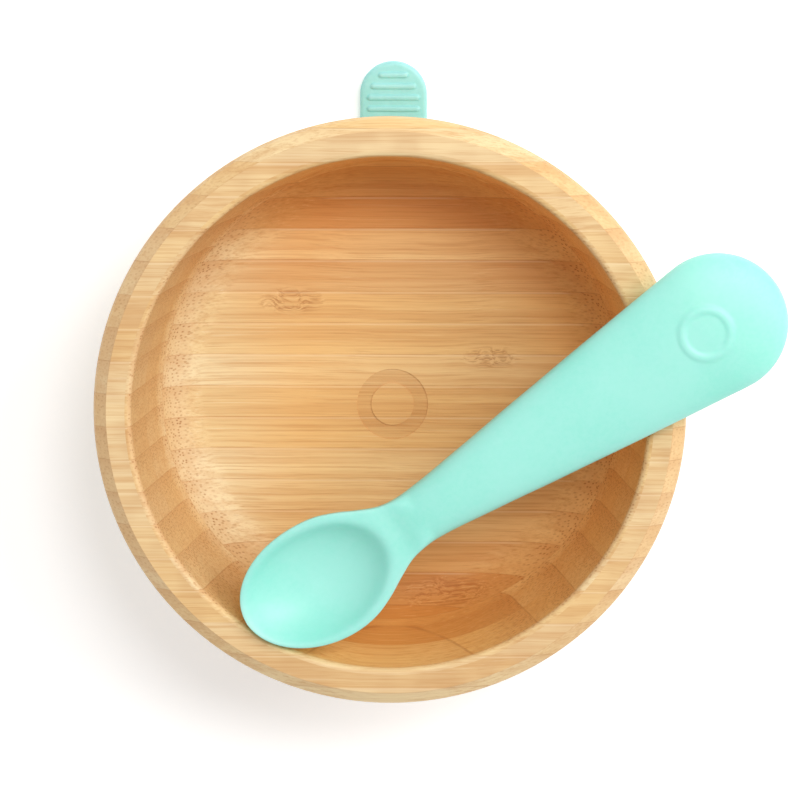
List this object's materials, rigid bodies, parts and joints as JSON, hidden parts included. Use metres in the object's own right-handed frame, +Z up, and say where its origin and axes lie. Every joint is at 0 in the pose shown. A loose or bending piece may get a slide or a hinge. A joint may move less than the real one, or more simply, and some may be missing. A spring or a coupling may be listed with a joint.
{
  "type": "suction bowl with spoon",
  "caption": "Round bowl turned from glued bamboo strips, on a silicone suction ring with a pull tab, with a soft spoon laid across its rim.",
  "frame": {"origin": "centre of the suction ring, on the table it stands on", "axes": "+Z up, +Y towards the pull tab, +X along the bamboo fibres"},
  "size_m": [0.1522, 0.1407, 0.0721],
  "materials": {
    "bamboo_pale": "sanded and oiled, pale strips",
    "bamboo_honey": "sanded and oiled, honey strips",
    "bamboo_amber": "sanded and oiled, amber strips",
    "silicone": "matte moulded silicone",
    "spoon_silicone": "matte moulded silicone"
  },
  "bodies": {
    "skirt": {"suction_skirt": "silicone"},
    "base_ring": {"retaining_ring": "silicone", "grip_bead": "silicone"},
    "bowl": {"base_strip_02": "bamboo_amber", "base_strip_03": "bamboo_pale", "base_strip_04": "bamboo_honey", "base_strip_05": "bamboo_honey", "base_strip_06": "bamboo_pale", "base_strip_07": "bamboo_pale", "base_strip_08": "bamboo_pale", "base_strip_09": "bamboo_honey", "base_strip_10": "bamboo_pale", "base_strip_11": "bamboo_pale", "base_strip_12": "bamboo_pale", "base_strip_13": "bamboo_pale", "base_strip_14": "bamboo_honey", "base_strip_15": "bamboo_pale", "base_strip_16": "bamboo_honey", "base_strip_17": "bamboo_pale", "base_strip_18": "bamboo_honey", "wall_strip_01": "bamboo_pale", "wall_strip_02": "bamboo_honey", "wall_strip_03": "bamboo_pale", "wall_strip_04": "bamboo_amber", "wall_strip_05": "bamboo_pale", "wall_strip_06": "bamboo_honey", "wall_strip_07": "bamboo_honey", "wall_strip_08": "bamboo_pale", "wall_strip_09": "bamboo_honey", "wall_strip_10": "bamboo_pale", "wall_strip_11": "bamboo_pale", "wall_strip_12": "bamboo_honey", "wall_strip_13": "bamboo_pale", "wall_strip_14": "bamboo_pale", "wall_strip_15": "bamboo_honey", "wall_strip_16": "bamboo_amber", "wall_strip_17": "bamboo_pale", "wall_strip_18": "bamboo_honey", "wall_strip_19": "bamboo_pale"},
    "spoon": {"spoon": "spoon_silicone"},
    "tab": {"release_tab": "silicone"}
  },
  "joints": [
    {"name": "suction_press", "type": "slide", "parent": "skirt", "child": "base_ring", "axis": [0, 0, -1], "range_m": [0, 0.0018], "stiffness_N_per_m": 300, "springref_m": -0.008, "deforming": ["suction_skirt"]},
    {"name": "bowl_release", "type": "slide", "parent": "base_ring", "child": "bowl", "axis": [0, 0, 1], "range_m": [0, 0.03], "deforming": ["grip_bead"]},
    {"name": "spoon_lift", "type": "slide", "parent": "bowl", "child": "spoon", "axis": [0, 0, 1], "range_m": [0, 0.06]},
    {"name": "tab_lift", "type": "hinge", "parent": "skirt", "child": "tab", "pos_m": [0, 0.0526, 0.0017], "axis": [1, 0, 0], "range_deg": [0, 55], "stiffness_Nm_per_rad": 0.01, "springref_deg": -11.46}
  ]
}
